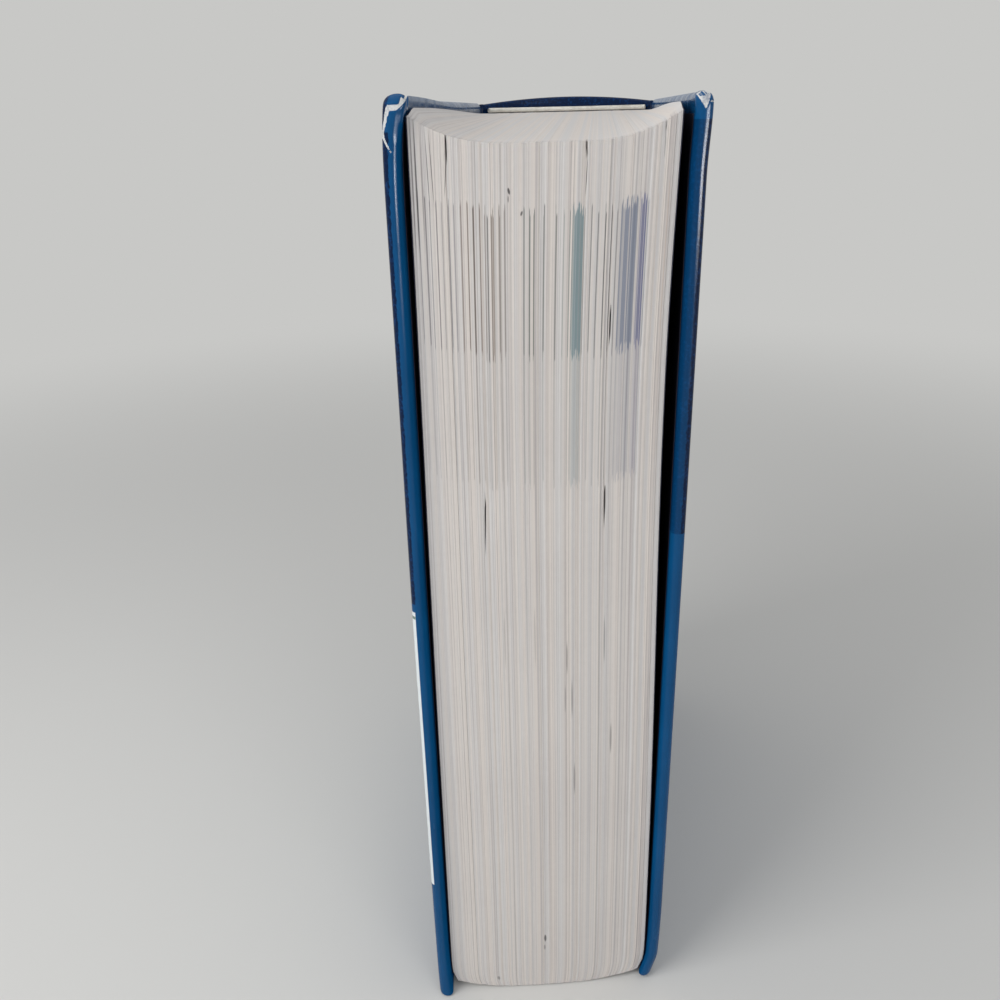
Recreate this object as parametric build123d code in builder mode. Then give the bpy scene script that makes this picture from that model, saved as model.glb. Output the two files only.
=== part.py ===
from build123d import *
from math import asin, cos, degrees, hypot, radians, sin
import os

# A thick case-bound study bible standing on its tail, in millimetres.
# +Z is up, the fore-edge faces -Y, the spine +Y, the front cover is at -X and the back cover at +X.
# The origin is under the middle of the whole book, on the surface that it stands on.

# Driving sizes: the two cover boards and the printed paper that covers them
board_width = 139.4
board_height = 237.4
board_thickness = 2.7
cover_paper = 0.3
turn_in_width = 16.0
board_edge_radius = 0.9
head_corner_radius = 2.2
front_tail_corner_radius = 1.0
bumped_tail_corner_radius = 2.0
bent_corner_leg = 10.0
bent_corner_depth = 2.6

# Driving sizes: the endpapers
endpaper = 0.15
pastedown_margin = 4.0
cover_clearance = 0.3

# Driving sizes: the block of leaves, which has slipped and sagged
block_thickness = 55.1
fore_edge_square = 2.2
head_square = 3.2
tail_square = 2.4
fore_edge_bow = 1.5
head_sag = 5.4
tail_sag = 2.1
lean = 9.4
glue_gap = 0.05

# Driving sizes: how far the last leaves stand off the full thickness, down the fore-edge
head_slack = 1.5
waist_slack = 2.2
belly_slack = 0.5
heel_slack = 1.3
foot_slack = 3.1
waist_height = 162.0
belly_height = 34.0
heel_height = 14.0

# Driving sizes: the spine and the two grooves that the covers swing at
spine_radius = 59.0
spine_lining_thickness = 0.6
spine_strip_thickness = 1.2
hollow_back_gap = 0.3
joint_groove = 7.6
joint_gap = 0.5
shoulder_run = 1.5
headcap_rise = 1.6
headcap_dip = 0.8
spine_turn_in = 16.0

# Driving sizes: the head and tail bands
band_tongue = 0.4
band_tongue_height = 8.0
band_bead_width = 2.4
band_bead_height = 1.3
band_bead_slope = 0.7
band_end_gap = 1.5
band_seat_gap = 0.3

# Room left round a cutting outline, so that it passes every face that it shouldn't touch
cut_margin = 2.0

# Places across the thickness, from the leaves outwards
block_face = block_thickness / 2
flyleaf_inner = block_face + glue_gap
flyleaf_outer = flyleaf_inner + endpaper
pastedown_face = flyleaf_outer + cover_clearance
turn_in_face = pastedown_face + endpaper
board_inner = turn_in_face + cover_paper
board_outer = board_inner + board_thickness
cover_outer = board_outer + cover_paper
flange_middle = flyleaf_outer + glue_gap + cover_paper / 2

# Sizes of a covered board, and the levels of the leaves at the spine
cover_height = board_height + 2 * cover_paper
cover_width = board_width + 2 * cover_paper
leaf_width = cover_width + joint_groove - fore_edge_square
head_level = cover_height - head_square
tail_level = tail_square

# The covers have slipped past each other, so every plan leans by the same slope
lean_slope = lean / (cover_outer + turn_in_face)
lean_stretch = hypot(1, lean_slope)
lean_angle = degrees(asin(lean_slope / lean_stretch))

# The rounded spine is a set of arcs about one upright axis, from the leaves outwards
spine_half_chord = block_face * lean_stretch
spine_half_angle = degrees(asin(spine_half_chord / spine_radius))
spine_axis_depth = spine_radius * cos(radians(spine_half_angle))
lining_inner_radius = spine_radius + glue_gap
lining_radius = lining_inner_radius + spine_lining_thickness
tongue_radius = lining_radius + glue_gap + band_tongue
spine_paper_inner_radius = tongue_radius + hollow_back_gap
strip_inner_radius = spine_paper_inner_radius + cover_paper
strip_outer_radius = strip_inner_radius + spine_strip_thickness
spine_paper_radius = strip_outer_radius + cover_paper

# Depths, with the book's middle half way between the front fore-edge and the crest of the spine
fore_to_shoulder = lean / 2 + fore_edge_square + leaf_width
fore_to_spine_axis = fore_to_shoulder - spine_axis_depth / lean_stretch
book_depth = fore_to_spine_axis + spine_paper_radius
middle_fore = lean / 2 - book_depth / 2
fore_edge_line = middle_fore + fore_edge_square
shoulder_line = fore_edge_line + leaf_width

# Plan of the spine: turned with the lean, with its origin on the axis of the arcs
spine_plane = Plane(
    origin=(spine_axis_depth * lean_slope / lean_stretch, shoulder_line - spine_axis_depth / lean_stretch, 0),
    x_dir=(1, lean_slope, 0),
    z_dir=(0, 0, 1),
)


def lean_at(x):
    """How far back the lean carries a leaf at x."""
    return lean_slope * x


def cover_fore(side):
    """Where a cover's fore-edge lies; side is -1 for the front cover and 1 for the back."""
    return middle_fore + side * lean / 2


def sag_line(left, right, level, sag):
    """Points across the leaves at the fore-edge, held up at both sides and sunk between them."""
    shares = ((0, 0), (0.15, 0.7), (0.35, 1), (0.66, 1), (0.86, 0.7), (1, 0))
    return [(left + (right - left) * across, level - sag * down) for across, down in shares]


def upright_section(depth, *lines):
    """An upright section, turned with the lean; a line of more than two points is a smooth curve."""
    section_plane = Plane(origin=(0, depth, 0), x_dir=(1, lean_slope, 0), z_dir=(lean_slope, -1, 0))
    with BuildSketch(section_plane) as section:
        with BuildLine():
            for line in lines:
                points = [(x * lean_stretch, z) for x, z in line]
                if len(points) > 2:
                    Spline(*points)
                else:
                    Line(*points)
        make_face()
    return section.sketch


def slab(side, grow, tail_corner_radius):
    """A cover board's form, grown on every side, with its three free edges rounded."""
    with BuildPart() as form:
        with BuildSketch(Plane.YZ.offset(side * (board_inner - grow))) as outline:
            with Locations((cover_fore(side) + cover_width / 2, cover_height / 2)):
                Rectangle(board_width + 2 * grow, board_height + 2 * grow)
            tail_corner = outline.vertices().group_by(Axis.X)[0].sort_by(Axis.Y)[0]
            fillet(tail_corner, tail_corner_radius + grow)
            head_corner = outline.vertices().group_by(Axis.Y)[-1].sort_by(Axis.X)[0]
            fillet(head_corner, head_corner_radius + grow)
        extrude(amount=side * (board_thickness + 2 * grow))
        rims = form.faces().filter_by(Axis.X).edges()
        fillet(rims.group_by(Axis.Y)[:-1], board_edge_radius + grow)
    return form.part


def cover_wrap(side, tail_corner_radius):
    """The printed paper round a board, turned in at head, tail and fore-edge, and open at the joint."""
    window_width = cover_width - turn_in_width
    window_middle = cover_fore(side) + turn_in_width + window_width / 2
    with BuildPart() as wrap:
        add(slab(side, cover_paper, tail_corner_radius))
        add(slab(side, 0, tail_corner_radius), mode=Mode.SUBTRACT)
        with BuildSketch(Plane.YZ.offset(side * turn_in_face)):
            with Locations((window_middle, cover_height / 2)):
                Rectangle(window_width, cover_height - 2 * turn_in_width)
        extrude(amount=side * cover_paper, mode=Mode.SUBTRACT)
    return wrap.part


def pastedown(side):
    """The endpaper half glued inside a cover, over the turn-ins and sunk to the board between them."""
    sheet_width = cover_width - pastedown_margin
    sheet_middle = cover_fore(side) + pastedown_margin + sheet_width / 2
    sunk_width = cover_width - turn_in_width
    sunk_middle = cover_fore(side) + turn_in_width + sunk_width / 2
    with BuildPart() as sheet:
        with BuildSketch(Plane.YZ.offset(side * pastedown_face)):
            with Locations((sheet_middle, cover_height / 2)):
                Rectangle(sheet_width, cover_height - 2 * pastedown_margin)
        extrude(amount=side * endpaper)
        with BuildSketch(Plane.YZ.offset(side * turn_in_face)):
            with Locations((sunk_middle, cover_height / 2)):
                Rectangle(sunk_width, cover_height - 2 * turn_in_width)
        extrude(amount=side * cover_paper)
    return sheet.part


def bent_corner(piece):
    """A piece of the back cover with its tail corner bent in by a knock, from a slanting crease on."""
    slope = bent_corner_depth / bent_corner_leg
    crease_end = cover_fore(1) + bent_corner_leg
    crease_plane = Plane(origin=(0, crease_end, 0), x_dir=(1, 0, 0), z_dir=(0, 1, 1))
    bend = Matrix([[1, slope, slope, -slope * crease_end], [0, 1, 0, 0], [0, 0, 1, 0]])
    with BuildPart() as flat_rest:
        add(piece)
        split(bisect_by=crease_plane, keep=Keep.TOP)
    with BuildPart() as corner:
        add(piece)
        split(bisect_by=crease_plane, keep=Keep.BOTTOM)
    with BuildPart() as bent:
        add(flat_rest.part)
        add(corner.part.transform_geometry(bend))
    return bent.part


def spine_layer(inner, outer):
    """Plan of one curved layer of the spine, from shoulder to shoulder."""
    with BuildSketch(spine_plane) as layer:
        with BuildLine():
            near = CenterArc((0, 0), inner, 90 - spine_half_angle, 2 * spine_half_angle)
            far = CenterArc((0, 0), outer, 90 - spine_half_angle, 2 * spine_half_angle)
            Line(near @ 0, far @ 0)
            Line(near @ 1, far @ 1)
        make_face()
    return layer.sketch


def spine_face(inset):
    """Front view of the spine, its head pulled up in an arch between the two joints."""
    side_level = cover_height - headcap_dip - inset
    crown_level = cover_height + headcap_rise - inset
    with BuildSketch(Plane.XZ) as outline:
        with BuildLine():
            left = (-cover_outer, side_level)
            right = (cover_outer, side_level)
            Polyline(left, (-cover_outer, inset), (cover_outer, inset), right)
            ThreePointArc(right, (0, crown_level), left)
        make_face()
    return outline.sketch


def joint_flange(side):
    """Plan of the covering in one groove, from near the board round the shoulder to the spine."""
    start_level = cover_fore(side) + cover_width + joint_gap
    shoulder_level = shoulder_line + lean_at(side * block_face) - shoulder_run
    end_angle = 90 - side * spine_half_angle
    middle_radius = spine_paper_radius - cover_paper / 2
    end = spine_plane.from_local_coords(
        Vector(middle_radius * cos(radians(end_angle)), middle_radius * sin(radians(end_angle)))
    )
    with BuildSketch(Plane.XY) as flange:
        with BuildLine():
            foot = (side * flange_middle, start_level)
            turn = (side * flange_middle, shoulder_level)
            Line(foot, turn)
            TangentArc(turn, end, tangent=(0, 1))
        trace(line_width=cover_paper)
    return flange.sketch


def band(level, up):
    """A head or tail band: a bead on the end of the leaves and a tongue down the spine lining."""
    reach = spine_half_angle - degrees(band_end_gap / spine_radius)
    start_angle = radians(90 - reach)
    radial = spine_plane.from_local_coords(Vector(cos(start_angle), sin(start_angle))) - spine_plane.origin
    section_plane = Plane(origin=spine_plane.origin, x_dir=radial, z_dir=radial.cross(Vector(0, 0, 1)))
    seat = level + up * band_seat_gap
    tongue_inner = tongue_radius - band_tongue
    tongue_end = level - up * band_tongue_height
    bead_inner = tongue_radius - band_bead_width
    crown = seat + up * band_bead_height
    cheek = seat + up * (band_bead_height - band_bead_slope)
    with BuildPart() as piece:
        with BuildSketch(section_plane):
            with BuildLine():
                Polyline(
                    (tongue_inner, seat),
                    (tongue_inner, tongue_end),
                    (tongue_radius, tongue_end),
                    (tongue_radius, cheek),
                    (tongue_radius - band_bead_slope, crown),
                    (bead_inner + band_bead_slope, crown),
                    (bead_inner, cheek),
                    (bead_inner, seat),
                    close=True,
                )
            make_face()
        revolve(axis=Axis(spine_plane.origin, (0, 0, 1)), revolution_arc=2 * reach)
    return piece.part


# Plan that trims the leaves: rounded behind, slightly bowed in front, wider than they are at the sides
plan_half_chord = spine_half_chord + cut_margin
plan_half_angle = degrees(asin(plan_half_chord / spine_radius))
fore_shift = -leaf_width * sin(radians(lean_angle))
fore_level = spine_axis_depth - leaf_width * cos(radians(lean_angle))
with BuildSketch(spine_plane) as leaf_plan:
    with BuildLine():
        back_curve = CenterArc((0, 0), spine_radius, 90 - plan_half_angle, 2 * plan_half_angle)
        fore_curve = ThreePointArc(
            (fore_shift - plan_half_chord, fore_level),
            (fore_shift, fore_level - fore_edge_bow),
            (fore_shift + plan_half_chord, fore_level),
        )
        Line(back_curve @ 1, fore_curve @ 0)
        Line(back_curve @ 0, fore_curve @ 1)
    make_face()

# Sections of the leaves: square behind the spine, sagged and bulging in front of the fore-edge
spine_section_depth = shoulder_line + (spine_radius - spine_axis_depth) * lean_stretch + cut_margin
fore_section_depth = fore_edge_line - fore_edge_bow - cut_margin
last_leaf = [
    (block_face - foot_slack, tail_level),
    (block_face - heel_slack, heel_height),
    (block_face - belly_slack, belly_height),
    (block_face - waist_slack, waist_height),
    (block_face - head_slack, head_level),
]
last_leaf_at_spine = [(block_face, tail_level), (block_face, head_level)]
first_leaf = [(-block_face, tail_level), (-block_face, head_level)]

fore_section = upright_section(
    fore_section_depth,
    first_leaf,
    last_leaf,
    sag_line(-block_face, last_leaf[-1][0], head_level, head_sag),
    sag_line(-block_face, last_leaf[0][0], tail_level, tail_sag),
)
spine_section = upright_section(
    spine_section_depth,
    first_leaf,
    last_leaf_at_spine,
    [first_leaf[1], last_leaf_at_spine[1]],
    [first_leaf[0], last_leaf_at_spine[0]],
)

# The leaves, one solid
with BuildPart() as text_block:
    loft(sections=[fore_section, spine_section], ruled=True)
    extrude(leaf_plan.sketch, amount=cover_height, mode=Mode.INTERSECT)

# The free halves of the two endpapers, each lying on the outer leaf that it is tipped to
first_face = text_block.faces().sort_by(Axis.X)[0].moved(Location((-glue_gap, 0, 0)))
last_face = text_block.faces().sort_by(Axis.X)[-1].moved(Location((glue_gap, 0, 0)))
with BuildPart() as front_flyleaf:
    extrude(first_face, amount=endpaper, dir=(-1, 0, 0))
with BuildPart() as back_flyleaf:
    extrude(last_face, amount=endpaper, dir=(1, 0, 0))

# Plans and front views of the layers of the spine
lining_plan = spine_layer(lining_inner_radius, lining_radius)
strip_plan = spine_layer(strip_inner_radius, strip_outer_radius)
spine_paper_plan = spine_layer(spine_paper_inner_radius, spine_paper_radius)
turn_in_plan = spine_layer(spine_paper_inner_radius, strip_inner_radius)
groove_plans = [joint_flange(-1), joint_flange(1)]
strip_face = spine_face(cover_paper)
spine_cover_face = spine_face(0)
spine_top = cover_height + headcap_rise

# The lining glued down the rounded backs of the leaves
with BuildPart() as spine_lining:
    extrude(lining_plan, amount=head_level)
    extrude(lining_plan, amount=tail_level, mode=Mode.SUBTRACT)

# The stiff card strip in the spine of the case, arched at the head
with BuildPart() as spine_strip:
    extrude(strip_plan, amount=spine_top)
    extrude(strip_face, amount=book_depth, both=True, mode=Mode.INTERSECT)

# The stretch inside the strip that the turn-ins at head and tail leave bare
with BuildPart() as bare_strip:
    extrude(turn_in_plan, amount=cover_height - spine_turn_in)
    extrude(turn_in_plan, amount=spine_turn_in, mode=Mode.SUBTRACT)

# The covering over the spine and both grooves, turned in over the strip at head and tail
with BuildPart() as spine_cover:
    extrude(spine_paper_plan, amount=spine_top)
    for groove_plan in groove_plans:
        extrude(groove_plan, amount=spine_top)
    extrude(spine_cover_face, amount=book_depth, both=True, mode=Mode.INTERSECT)
    add(spine_strip.part, mode=Mode.SUBTRACT)
    add(bare_strip.part, mode=Mode.SUBTRACT)

finished_pieces = {
    "text_block": text_block.part,
    "front_flyleaf": front_flyleaf.part,
    "back_flyleaf": back_flyleaf.part,
    "spine_lining": spine_lining.part,
    "headband": band(head_level, 1),
    "tailband": band(tail_level, -1),
    "spine_strip": spine_strip.part,
    "spine_cover": spine_cover.part,
    "front_board": slab(-1, 0, front_tail_corner_radius),
    "front_cover_paper": cover_wrap(-1, front_tail_corner_radius),
    "front_pastedown": pastedown(-1),
    "back_board": bent_corner(slab(1, 0, bumped_tail_corner_radius)),
    "back_cover_paper": bent_corner(cover_wrap(1, bumped_tail_corner_radius)),
    "back_pastedown": bent_corner(pastedown(1)),
}

os.makedirs("parts", exist_ok=True)
for piece_name, piece in finished_pieces.items():
    piece.label = piece_name
    export_step(piece, f"parts/{piece_name}.step")

# Each cover swings about an upright line in the middle of its groove, on its outer face
for side_name, side in (("front", -1), ("back", 1)):
    hinge_y = cover_fore(side) + cover_width + joint_groove / 2
    print(f"{side_name} cover hinge at x {side * cover_outer:.3f}, y {hinge_y:.3f}")
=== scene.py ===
import math

import bmesh
import bpy
import numpy as np
from bpy.props import FloatProperty, FloatVectorProperty, IntProperty, PointerProperty
from mathutils import Matrix, Vector


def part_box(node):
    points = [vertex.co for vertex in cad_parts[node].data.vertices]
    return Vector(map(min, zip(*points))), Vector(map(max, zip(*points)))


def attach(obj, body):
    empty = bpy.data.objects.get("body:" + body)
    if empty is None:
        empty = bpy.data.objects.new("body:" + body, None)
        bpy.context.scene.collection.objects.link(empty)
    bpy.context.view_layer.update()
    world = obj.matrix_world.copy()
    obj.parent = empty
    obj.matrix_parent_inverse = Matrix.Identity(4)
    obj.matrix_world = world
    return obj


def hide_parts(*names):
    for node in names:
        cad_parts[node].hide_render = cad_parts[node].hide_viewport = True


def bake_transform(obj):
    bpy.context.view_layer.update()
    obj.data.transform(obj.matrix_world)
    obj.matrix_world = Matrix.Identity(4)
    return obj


bl_info = {
    "name": "Worn study bible",
    "version": (1, 0, 0),
    "blender": (4, 5, 0),
    "location": "3D View > Sidebar > Study bible",
    "description": "Dresses a thick case-bound book: its leaves, covers, spine, joints and bands",
    "category": "Object",
}

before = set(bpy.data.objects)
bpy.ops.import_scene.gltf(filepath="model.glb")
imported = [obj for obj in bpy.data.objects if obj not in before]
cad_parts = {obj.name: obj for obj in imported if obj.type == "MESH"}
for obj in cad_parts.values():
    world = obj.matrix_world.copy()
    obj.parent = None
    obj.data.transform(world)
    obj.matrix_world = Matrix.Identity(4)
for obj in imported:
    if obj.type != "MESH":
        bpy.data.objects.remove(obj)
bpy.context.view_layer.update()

MM = 0.001
FRONT = -1
BACK = 1

# Places and sizes that the frame gives, in metres
front_low, front_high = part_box("front_cover_paper")
back_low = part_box("back_cover_paper")[0]
block_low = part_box("text_block")[0]
lining_low, lining_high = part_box("spine_lining")
spine_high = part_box("spine_cover")[1]

cover_outer = -front_low.x
cover_inner = -front_high.x
cover_middle = (cover_outer + cover_inner) / 2
cover_thickness = cover_outer - cover_inner
cover_width = front_high.y - front_low.y
cover_height = front_high.z
block_face = -block_low.x
head_level = lining_high.z
tail_level = lining_low.z
endpaper_thickness = 0.15 * MM

# The covers have slipped past each other, so every plan leans by one slope
lean_slope = (back_low.y - front_low.y) / (cover_outer + cover_inner)
lean_stretch = math.hypot(1, lean_slope)
middle_fore = (front_low.y + back_low.y) / 2

# The rounded spine: layers about one upright axis
spine_radius = 59.0 * MM
lining_radius = 59.65 * MM
band_radius = 60.1 * MM
spine_inner_radius = 60.4 * MM
spine_outer_radius = 62.2 * MM
spine_half_angle = math.asin(block_face * lean_stretch / spine_radius)
spine_axis_depth = spine_radius * math.cos(spine_half_angle)
spine_axis_x = spine_axis_depth * lean_slope / lean_stretch
spine_axis_y = lining_high.y - lining_radius
spine_lean = math.atan(lean_slope)


def srgb(red, green, blue):
    """A colour written as screen values from 0 to 255, as linear light."""
    values = [channel / 255 for channel in (red, green, blue)]
    return tuple(c / 12.92 if c <= 0.04045 else ((c + 0.055) / 1.055) ** 2.4 for c in values)


def colour_property(name, description, default):
    """A colour setting."""
    return FloatVectorProperty(
        name=name, description=description, default=default, size=3, min=0, max=1, subtype="COLOR"
    )


def length_property(name, description, default):
    """A length setting, in metres."""
    return FloatProperty(
        name=name, description=description, default=default, subtype="DISTANCE", unit="LENGTH", precision=5
    )


class LeavesSettings(bpy.types.PropertyGroup):
    """The block of leaves and its endpapers."""

    fore_edge_square: length_property("Square", "How far the covers stand past the leaves", 2.2 * MM)
    fore_edge_bow: length_property("Bow", "How far the fore-edge swells forward in the middle", 1.5 * MM)
    head_sag: length_property("Head sag", "How far the leaves have sunk at the head", 5.4 * MM)
    tail_sag: length_property("Tail sag", "How far the leaves have sunk at the tail", 2.1 * MM)
    columns: IntProperty(name="Columns", description="Leaf edges modelled across the block", default=420)
    leaf_pitch: length_property("Leaf pitch", "Width of one visible leaf edge", 0.17 * MM)
    leaf_jitter: length_property("Leaf jitter", "How unevenly single leaves are cut", 0.03 * MM)
    gathering_pitch: length_property("Gathering pitch", "Mean width of a gathering of leaves", 1.3 * MM)
    gathering_step: length_property("Gathering step", "How far gatherings stand past each other", 0.09 * MM)
    paper: colour_property("Paper", "Colour of the leaf edges", srgb(214, 207, 201))
    cool_paper: colour_property("Cool paper", "Colour of the greyer bundles of leaves", srgb(208, 205, 203))
    paper_shade: colour_property("Shaded paper", "Colour between the leaf edges", srgb(166, 158, 158))
    # The endpaper colours are a dark slate that paints the shade in the gaps beside the leaves and inside the
    # covers
    endpaper: colour_property("Endpaper", "Colour of the endpapers", srgb(52, 52, 66))
    rubbed_endpaper: colour_property("Rubbed endpaper", "Where the endpapers are rubbed", srgb(70, 70, 84))


class CoverSettings(bpy.types.PropertyGroup):
    """The printed and laminated covering."""

    edge_radius: length_property("Edge radius", "Rounding of a covered board's edges", 1.6 * MM)
    turn_in: length_property("Turn-in", "Width of the covering folded inside a board", 16 * MM)
    paper: length_property("Covering", "Thickness of the covering", 0.25 * MM)
    blue: colour_property("Blue", "Plain colour of the covering", srgb(12, 76, 124))
    navy: colour_property("Navy", "Dark colour of the mottled print", srgb(4, 27, 60))
    print_blue: colour_property("Print blue", "Lighter specks of the mottled print", srgb(10, 50, 96))
    panel: colour_property("Panel", "Pale field on the front cover", srgb(222, 228, 230))
    panel_line: colour_property("Panel line", "Thin line along the pale field", srgb(120, 140, 132))
    torn: colour_property("Torn", "Bare fibres where the covering is torn", srgb(208, 209, 208))
    torn_shade: colour_property("Torn shade", "Soiled fibres where the covering is torn", srgb(142, 147, 160))


class StageSettings(bpy.types.PropertyGroup):
    """The floor, lamps and camera."""

    floor: colour_property("Floor", "Colour of the floor", srgb(212, 211, 208))
    floor_cloud: colour_property("Floor cloud", "Colour of the floor's faint clouds", srgb(202, 202, 200))
    backdrop: colour_property("Backdrop", "Colour behind the book", srgb(200, 200, 198))
    fill: colour_property("Fill", "Colour of the light from all round", srgb(240, 242, 244))
    fill_strength: FloatProperty(name="Fill strength", description="Light from all round", default=0.45)
    focal_length: FloatProperty(name="Focal length", description="In millimetres", default=33.02)
    camera_pitch: FloatProperty(name="Camera pitch", description="Looking down, in degrees", default=22.90)
    camera_yaw: FloatProperty(name="Camera yaw", description="Turned to the right, in degrees", default=-6.02)
    camera_roll: FloatProperty(name="Camera roll", description="Tilted, in degrees", default=-1.39)


class BookSettings(bpy.types.PropertyGroup):
    """All settings of the book."""

    leaves: PointerProperty(type=LeavesSettings)
    cover: PointerProperty(type=CoverSettings)
    stage: PointerProperty(type=StageSettings)


def settings():
    """The settings of the open scene."""
    return bpy.context.scene.study_bible


# Mesh helpers


def new_object(name, data):
    """An object in the scene for a mesh, curve, lamp or camera."""
    made = bpy.data.objects.new(name, data)
    bpy.context.scene.collection.objects.link(made)
    return made


def outward_faces(mesh, merge=1e-7):
    """Merges doubles and points every face of a mesh outwards."""
    shell = bmesh.new()
    shell.from_mesh(mesh)
    bmesh.ops.remove_doubles(shell, verts=shell.verts, dist=merge)
    bmesh.ops.dissolve_degenerate(shell, edges=shell.edges, dist=merge)
    bmesh.ops.recalc_face_normals(shell, faces=shell.faces)
    shell.to_mesh(mesh)
    shell.free()
    return mesh


def mesh_from(name, vertices, faces):
    """A clean mesh from points and faces."""
    mesh = bpy.data.meshes.new(name)
    mesh.from_pydata([tuple(v) for v in vertices], [], [tuple(f) for f in faces])
    return outward_faces(mesh, merge=1e-6)


def faced(mesh, face, direction):
    """Turns a sheet over if one of its faces looks away from a direction."""
    if face.normal.dot(Vector(direction)) < 0:
        mesh.flip_normals()
    return mesh


def smooth_shaded(mesh, sharp_angle=40):
    """Smooth shading that keeps edges sharper than the angle, in degrees."""
    mesh.shade_smooth()
    mesh.set_sharp_from_angle(angle=math.radians(sharp_angle))


def evaluated_mesh(source):
    """The mesh that an object's modifiers make."""
    bpy.context.view_layer.update()
    return bpy.data.meshes.new_from_object(source.evaluated_get(bpy.context.evaluated_depsgraph_get()))


def plain_mesh(piece):
    """Turns a piece's modifiers into its own mesh."""
    mesh = evaluated_mesh(piece)
    mesh.name = piece.name
    piece.modifiers.clear()
    piece.data = mesh


def solidified(piece, thickness):
    """Gives a sheet its thickness, on the side that its faces look away from."""
    wall = piece.modifiers.new("Wall", "SOLIDIFY")
    wall.thickness = thickness
    wall.offset = -1
    wall.use_even_offset = True
    plain_mesh(piece)


def grid_faces(rows, columns):
    """Faces of a sheet of points numbered row by row."""
    corners = [row * columns + column for row in range(rows - 1) for column in range(columns - 1)]
    return [(corner, corner + 1, corner + columns + 1, corner + columns) for corner in corners]


def point_values(mesh, name, values):
    """Stores one number for each point of a mesh."""
    attribute = mesh.attributes.new(name, "FLOAT", "POINT")
    attribute.data.foreach_set("value", np.asarray(values, np.float32))


def smoothstep(low, high, values):
    """0 below low, 1 above high, and smooth between them."""
    share = np.clip((np.asarray(values, float) - low) / (high - low), 0, 1)
    return share * share * (3 - 2 * share)


def hump(values, rise, fall):
    """0, then 1 after the rise and 0 again after the fall, each given by its start and end."""
    return smoothstep(*rise, values) * (1 - smoothstep(*fall, values))


def wavy(values, seed):
    """A smooth uneven line from -1 to 1, the same on every run."""
    octaves, waves, spread, highest = 3, 3, 0.37, 1.75
    draws = np.random.default_rng(seed)
    total = np.zeros_like(np.asarray(values, float))
    for octave in range(octaves):
        pitch = 2.0**octave
        for step, shift in enumerate(draws.uniform(0, 2 * math.pi, waves)):
            total += np.sin(values * pitch * (1 + spread * step) + shift) / pitch
    return total / (highest * waves)


# Node helpers


class Term:
    """A number in a node tree, which plain arithmetic joins to other numbers."""

    def __init__(self, tree, socket):
        self.tree = tree
        self.socket = socket

    def calc(self, operation, *others):
        """One step of arithmetic on this number."""
        made = self.tree.nodes.new("ShaderNodeMath")
        made.operation = operation
        for socket, value in zip(made.inputs, (self, *others)):
            link_or_set(self.tree, socket, value)
        return Term(self.tree, made.outputs[0])

    def __add__(self, other):
        return self.calc("ADD", other)

    def __sub__(self, other):
        return self.calc("SUBTRACT", other)

    def __mul__(self, other):
        return self.calc("MULTIPLY", other)

    def __truediv__(self, other):
        return self.calc("DIVIDE", other)

    def floor(self):
        """The whole number below this one."""
        return self.calc("FLOOR")

    def ramp(self, low, high, start=0.0, end=1.0):
        """This number carried smoothly from start to end between low and high."""
        inputs = {"Value": self, "From Min": low, "From Max": high, "To Min": start, "To Max": end}
        made = add_node(self.tree, "ShaderNodeMapRange", inputs, interpolation_type="SMOOTHSTEP")
        return Term(self.tree, made.outputs["Result"])

    def step(self, level, blur, start=0.0, end=1.0):
        """A blurred step from start to end at a level."""
        return self.ramp(level - blur, level + blur, start, end)

    def within(self, low, high, blur):
        """1 between two levels and 0 outside them."""
        return self.step(low, blur) * self.step(high, blur, 1.0, 0.0)

    def draw(self):
        """A random number from 0 to 1 for each whole value."""
        made = add_node(self.tree, "ShaderNodeTexWhiteNoise", {"W": self}, noise_dimensions="1D")
        return Term(self.tree, made.outputs["Value"])


def link_or_set(tree, socket, value):
    """Joins a socket to a term or another socket, or gives it a plain value."""
    if isinstance(value, Term):
        value = value.socket
    if isinstance(value, bpy.types.NodeSocket):
        tree.links.new(value, socket)
    elif not isinstance(value, str) and hasattr(value, "__len__"):
        length = len(socket.default_value)
        socket.default_value = (list(value) + [1.0])[:length]
    else:
        socket.default_value = value


def set_inputs(tree, node, values):
    """Joins or sets inputs of a node by their names."""
    for name, value in values.items():
        link_or_set(tree, node.inputs[name], value)


def add_node(tree, kind, inputs, **options):
    """A node with its options and inputs set."""
    made = tree.nodes.new(kind)
    for name, value in options.items():
        setattr(made, name, value)
    set_inputs(tree, made, inputs)
    return made


def mixed(tree, share, first, second):
    """Two colours mixed by a share."""
    made = tree.nodes.new("ShaderNodeMix")
    made.data_type = "RGBA"
    link_or_set(tree, made.inputs[0], share)
    link_or_set(tree, made.inputs[6], first)
    link_or_set(tree, made.inputs[7], second)
    return made.outputs[2]


def noise(tree, place, scale, detail=2.0, roughness=0.5, dimensions="3D"):
    """Smooth noise from 0 to 1."""
    inputs = {"Scale": scale, "Detail": detail, "Roughness": roughness}
    inputs["W" if dimensions == "1D" else "Vector"] = place
    made = add_node(tree, "ShaderNodeTexNoise", inputs, noise_dimensions=dimensions)
    return Term(tree, made.outputs[0])


def named_value(tree, name):
    """A number stored on the mesh's points."""
    return Term(tree, add_node(tree, "ShaderNodeAttribute", {}, attribute_name=name).outputs["Fac"])


def object_place(tree):
    """Object coordinates."""
    return tree.nodes.new("ShaderNodeTexCoord").outputs["Object"]


def stretched(tree, place, x=1.0, y=1.0, z=1.0):
    """Coordinates stretched along the axes."""
    return add_node(tree, "ShaderNodeMapping", {"Vector": place, "Scale": (x, y, z)}).outputs[0]


def new_material(name):
    """A node material with its tree and shader."""
    material = bpy.data.materials.new(name)
    material.use_nodes = True
    return material, material.node_tree, material.node_tree.nodes["Principled BSDF"]


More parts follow.
